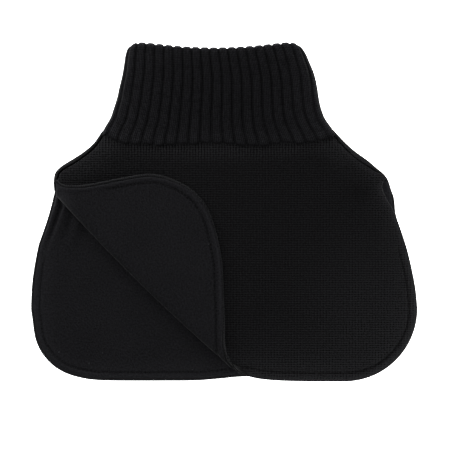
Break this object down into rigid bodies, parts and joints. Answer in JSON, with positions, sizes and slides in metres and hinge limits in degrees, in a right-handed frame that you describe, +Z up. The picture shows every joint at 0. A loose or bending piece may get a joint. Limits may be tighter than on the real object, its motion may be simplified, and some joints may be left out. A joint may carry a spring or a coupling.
{
  "type": "turtleneck dickey",
  "caption": "Turtleneck dickey lying flat: ribbed roll collar on a lined front and back bib, with the front bib's lower corner folded up.",
  "frame": {"origin": "middle of the footprint, on the surface that the back bib lies on", "axes": "+X across the bibs to the viewer's right, +Y towards the top of the collar, +Z up out of the front"},
  "size_m": [0.3871, 0.3382, 0.0211],
  "materials": {
    "rib_knit": "matt rib knit",
    "jersey_knit": "matt jersey knit",
    "lining_cloth": "smooth napped lining"
  },
  "bodies": {
    "root": {"ribbed_collar": "rib_knit", "front_bib": "jersey_knit", "back_bib": "jersey_knit", "front_lining": "lining_cloth", "back_lining": "lining_cloth"}
  },
  "joints": []
}
